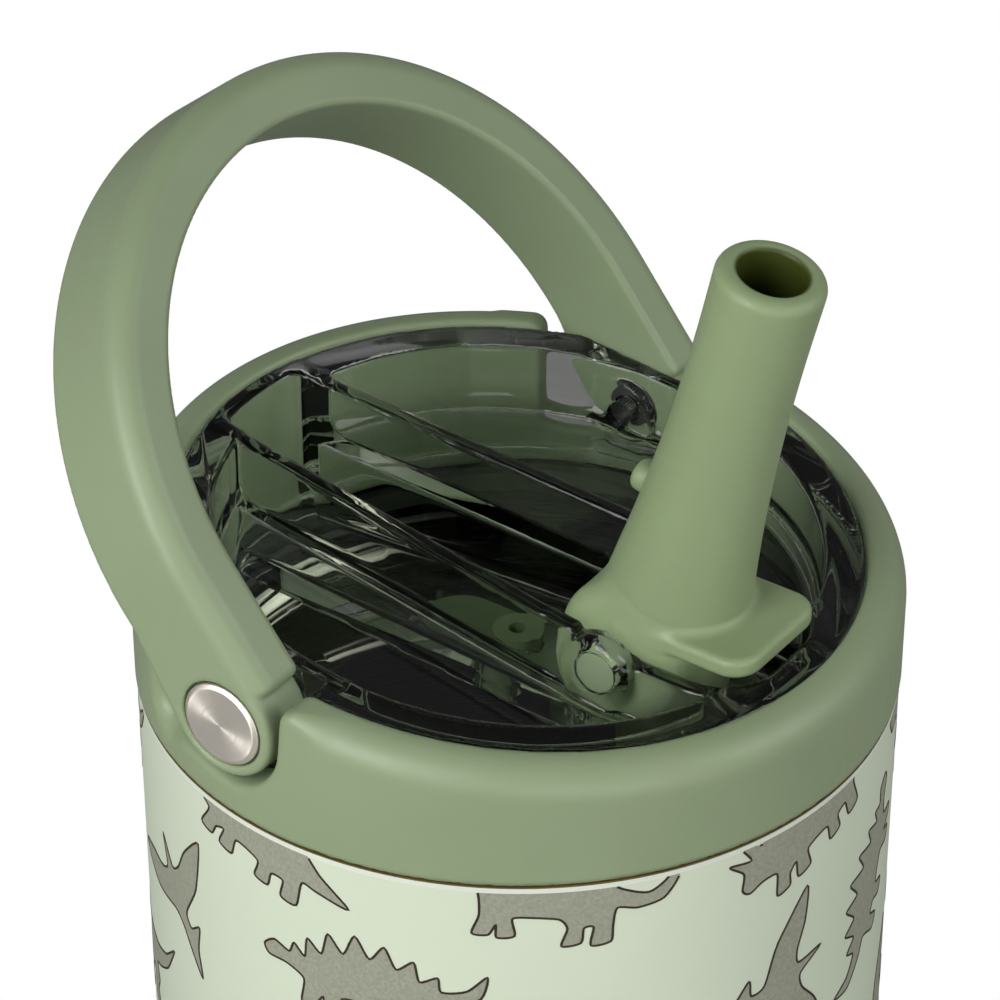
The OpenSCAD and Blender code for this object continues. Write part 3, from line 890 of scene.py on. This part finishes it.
# height of the unprinted ring, and of the dark line above it
PRINT_TOP = 0.75
SEAM_LINE = 0.11
PRINT_SCALE = 0.86
LINE_HALF = 0.135
# how far the print reaches into the wall and stands out of it
PRINT_ROOT = -0.05
FILL_LIFT = 0.025
LINE_LIFT = 0.05
BARE_LIFT = 0.03


def wall_radius(z):
    """Outer radius of the body at a height."""
    return np.interp(z, [FOOT_HEIGHT, STRAIGHT], [BASE_R, BODY_R])


# how full the outlines' curves are
CURVE = 0.36


def smooth_outline(points, steps=5):
    """A closed curve through the points."""
    p = np.array(points)
    before, after, later = np.roll(p, 1, axis=0), np.roll(p, -1, axis=0), np.roll(p, -2, axis=0)
    out = []
    for k in range(len(p)):
        for t in np.arange(steps) / steps:
            slope_a, slope_b = (after[k] - before[k]) * CURVE, (later[k] - p[k]) * CURVE
            h = 2 * t ** 3 - 3 * t ** 2
            bend = (t ** 3 - 2 * t ** 2 + t) * slope_a + (t ** 3 - t ** 2) * slope_b
            out.append((h + 1) * p[k] - h * after[k] + bend)
    return np.array(out)


def on_wall(u, v, angle, lift):
    """Point of the print: U along the wall from the angle, V up from the seam."""
    z = SEAM + v
    a = math.radians(angle) + u / BODY_R
    r = wall_radius(z) + lift
    return (r * math.cos(a) * MM, r * math.sin(a) * MM, z * MM)


def clip_below(points, top):
    """The part of a closed outline below a level."""
    out = []
    for a, b in zip(points, np.roll(points, -1, axis=0)):
        if a[1] <= top:
            out.append(a)
        if (a[1] <= top) != (b[1] <= top):
            out.append(a + (b - a) * (top - a[1]) / (b[1] - a[1]))
    # short steps along the cut, so that it follows the wall
    fine = []
    for a, b in zip(out, out[1:] + out[:1]):
        steps = max(1, math.ceil(np.linalg.norm(b - a)))
        fine += [a + (b - a) * k / steps for k in range(steps)]
    return fine


def add_skin(bm, corners, faces, angle, low, high):
    """A closed thin skin on the wall over flat triangles or quads in (U, V)."""
    upper = [bm.verts.new(on_wall(u, v, angle, high)) for u, v in corners]
    lower = [bm.verts.new(on_wall(u, v, angle, low)) for u, v in corners]
    sides = {}
    for face in faces:
        bm.faces.new([upper[k] for k in face])
        bm.faces.new([lower[k] for k in reversed(face)])
        for a, b in zip(face, face[1:] + face[:1]):
            sides[(a, b)] = True
    for a, b in sides:
        if (b, a) not in sides:
            bm.faces.new([upper[b], upper[a], lower[a], lower[b]])


FILL_STEP = 2.0


def fill_faces(outline):
    """Triangles of a closed outline with a few points inside, so that they follow the wall."""
    low, high = outline.min(axis=0), outline.max(axis=0)
    grid = [
        (u, v) for u in np.arange(low[0], high[0], FILL_STEP) for v in np.arange(low[1], high[1], FILL_STEP)
    ]
    n = len(outline)
    coords = [Vector(p) for p in outline] + [Vector(p) for p in grid]
    verts, _, faces, _, _, _ = delaunay_2d_cdt(coords, [], [list(range(n))], 1, 1e-4)
    return [(v.x, v.y) for v in verts], [list(f) for f in faces]


fills, lines = bmesh.new(), bmesh.new()
for turn in range(TILES):
    for kind, angle, depth, tilt, facing in TILE:
        shape = smooth_outline(KINDS[kind]) * PRINT_SCALE * (facing, 1)
        if facing < 0:
            shape = shape[::-1]
        c, s = math.cos(math.radians(tilt)), math.sin(math.radians(tilt))
        shape = shape @ np.array([[c, s], [-s, c]]) + (0, -depth)
        where = FACING + angle + turn * 360 / TILES
        cut = clip_below(shape, -PRINT_TOP)
        if len(cut) < 3:
            continue
        corners, faces = fill_faces(np.array(cut))
        add_skin(fills, corners, faces, where, PRINT_ROOT, FILL_LIFT)
        ahead = np.roll(shape, -1, axis=0) - np.roll(shape, 1, axis=0)
        normal = np.stack([ahead[:, 1], -ahead[:, 0]], axis=1) / np.linalg.norm(ahead, axis=1)[:, None]
        inner, outer = shape - normal * LINE_HALF, shape + normal * LINE_HALF
        keep = shape[:, 1] <= -PRINT_TOP
        n = len(shape)
        corners = [tuple(p) for p in inner] + [tuple(p) for p in outer]
        faces = [
            [k, (k + 1) % n, (k + 1) % n + n, k + n] for k in range(n) if keep[k] and keep[(k + 1) % n]
        ]
        used = sorted({k for f in faces for k in f})
        place = {k: i for i, k in enumerate(used)}
        faces = [[place[k] for k in f] for f in faces]
        add_skin(lines, [corners[k] for k in used], faces, where, PRINT_ROOT, LINE_LIFT)

for name, bm, mat in (("print_fill", fills, print_grey), ("print_outline", lines, print_brown)):
    bmesh.ops.recalc_face_normals(bm, faces=bm.faces)
    mesh = bpy.data.meshes.new(name)
    bm.to_mesh(mesh)
    bm.free()
    decal = bpy.data.objects.new(name, mesh)
    bpy.context.scene.collection.objects.link(decal)
    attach(paint(decal, mat), "vessel")

# unprinted ring and the dark line where the collar meets the body
for name, top, low, lift, mat in (
    ("bare_ring", -SEAM_LINE, -PRINT_TOP, BARE_LIFT, bare_white),
    ("seam_line", 0.05, -SEAM_LINE, LINE_LIFT, seam_brown),
):
    ring = lathe(
        name,
        [(BODY_R - SHEET, SEAM + low, 0), (BODY_R + lift, SEAM + low, 0), (BODY_R + lift, SEAM + top, 0),
         (BODY_R - SHEET, SEAM + top, 0)],
        segments=256,
    )
    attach(paint(ring, mat), "vessel")

for name, mat in {
    "inner_vessel": inner_steel, "base_plate": plain_steel, "base_pad": pad_green,
    "vacuum_getter": plain_steel, "lid_gasket": seal_dark, "spout_seat": seat_green,
    "seat_retainer": clear, "straw": straw_milk, "pivot_screws": dark_steel,
    "pivot_bushes": bush_dark, "spout_trunnions": trunnion_green,
}.items():
    paint_cad(name, mat)


# ---- floor, light and camera ----
def floor_material():
    """Plain pale floor: bright white to the eye, a soft grey in reflections."""
    mat, tree, shader, place, out = base_material("floor")
    tree.links.new(
        tint(tree, noise(tree, place, 6), (0.30, 0.30, 0.29), (0.34, 0.34, 0.33)), shader.inputs["Base Color"]
    )
    shader.inputs["Roughness"].default_value = 0.9
    glow = tree.nodes.new("ShaderNodeEmission")
    path = tree.nodes.new("ShaderNodeLightPath")
    mix = tree.nodes.new("ShaderNodeMixShader")
    tree.links.new(path.outputs["Is Camera Ray"], mix.inputs["Fac"])
    tree.links.new(shader.outputs[0], mix.inputs[1])
    tree.links.new(glow.outputs[0], mix.inputs[2])
    tree.links.new(mix.outputs[0], out.inputs["Surface"])
    return mat


FLOOR_HALF = 6.0
floor = new_object(
    "floor", [(a * FLOOR_HALF, b * FLOOR_HALF, 0) for a, b in ((-1, -1), (1, -1), (1, 1), (-1, 1))],
    [(0, 1, 2, 3)],
)
paint(floor, floor_material())


def studio_world():
    """Soft light that comes mostly from the sides: bright near the horizon, dim overhead."""
    world = bpy.data.worlds.new("studio")
    world.use_nodes = True
    tree = world.node_tree
    place = tree.nodes.new("ShaderNodeTexCoord")
    split = tree.nodes.new("ShaderNodeSeparateXYZ")
    ramp = tree.nodes.new("ShaderNodeValToRGB")
    tree.links.new(place.outputs["Generated"], split.inputs[0])
    tree.links.new(split.outputs["Z"], ramp.inputs["Fac"])
    levels = [(0.0, 0.42), (0.3, 0.38), (0.6, 0.15), (1.0, 0.07)]
    while len(ramp.color_ramp.elements) < len(levels):
        ramp.color_ramp.elements.new(0.5)
    for element, (height, level) in zip(ramp.color_ramp.elements, levels):
        element.position = height
        element.color = (level, level, level, 1)
    tree.links.new(ramp.outputs["Color"], tree.nodes["Background"].inputs["Color"])
    return world


bpy.context.scene.world = studio_world()
bpy.context.scene.view_settings.view_transform = "Standard"


def area_light(name, azimuth, elevation, distance, size, power):
    """A soft rectangular lamp that looks at the lid from a direction, in degrees and metres."""
    data = bpy.data.lights.new(name, "AREA")
    data.shape = "RECTANGLE"
    data.size, data.size_y = size
    data.energy = power
    a, e = math.radians(azimuth), math.radians(elevation)
    toward = Vector((math.sin(a) * math.cos(e), -math.cos(a) * math.cos(e), math.sin(e)))
    lamp = bpy.data.objects.new(name, data)
    lamp.location = Vector((0, 0, SEAM * MM)) + toward * distance
    lamp.rotation_euler = toward.to_track_quat("Z", "Y").to_euler()
    # the lamps stay out of sight behind the clear plastic
    lamp.visible_transmission = False
    bpy.context.scene.collection.objects.link(lamp)
    return lamp


area_light("left_box", -95, 26, 0.9, (0.5, 0.7), 7.1)
area_light("front_box", -30, 12, 1.0, (0.6, 0.5), 2.1)
area_light("right_box", 24, 28, 1.0, (0.4, 0.6), 2.9)
# not studio light: a strong lamp on the inner vessel alone, so that its painted rings show
inside = bpy.data.collections.new("inside")
inside.objects.link(frame["nodes"]["inner_vessel"])
area_light("inside_box", 28, 46, 0.8, (0.5, 0.5), 36).light_linking.receiver_collection = inside

AZIMUTH = math.radians(-54.53)
ELEVATION = math.radians(33.67)
DISTANCE = 459.29
AIM = Vector((0, 0, SEAM + 10))
SHIFT_RIGHT = 2.026
SHIFT_UP = -8.114
LENS = 150.49
SENSOR = 36
level = math.cos(ELEVATION)
back = Vector((math.sin(AZIMUTH) * level, -math.cos(AZIMUTH) * level, math.sin(ELEVATION)))
right = Vector((math.cos(AZIMUTH), math.sin(AZIMUTH), 0))
up = back.cross(right)
eye = AIM + back * DISTANCE - right * SHIFT_RIGHT - up * SHIFT_UP
camera_data = bpy.data.cameras.new("camera")
camera_data.lens = LENS
camera_data.sensor_width = SENSOR
camera_data.clip_start = 0.01
camera_data.clip_end = 50
camera = bpy.data.objects.new("camera", camera_data)
pose = Matrix((right, up, back)).transposed().to_4x4()
pose.translation = eye * MM
camera.matrix_world = pose
bpy.context.scene.collection.objects.link(camera)
bpy.context.scene.camera = camera
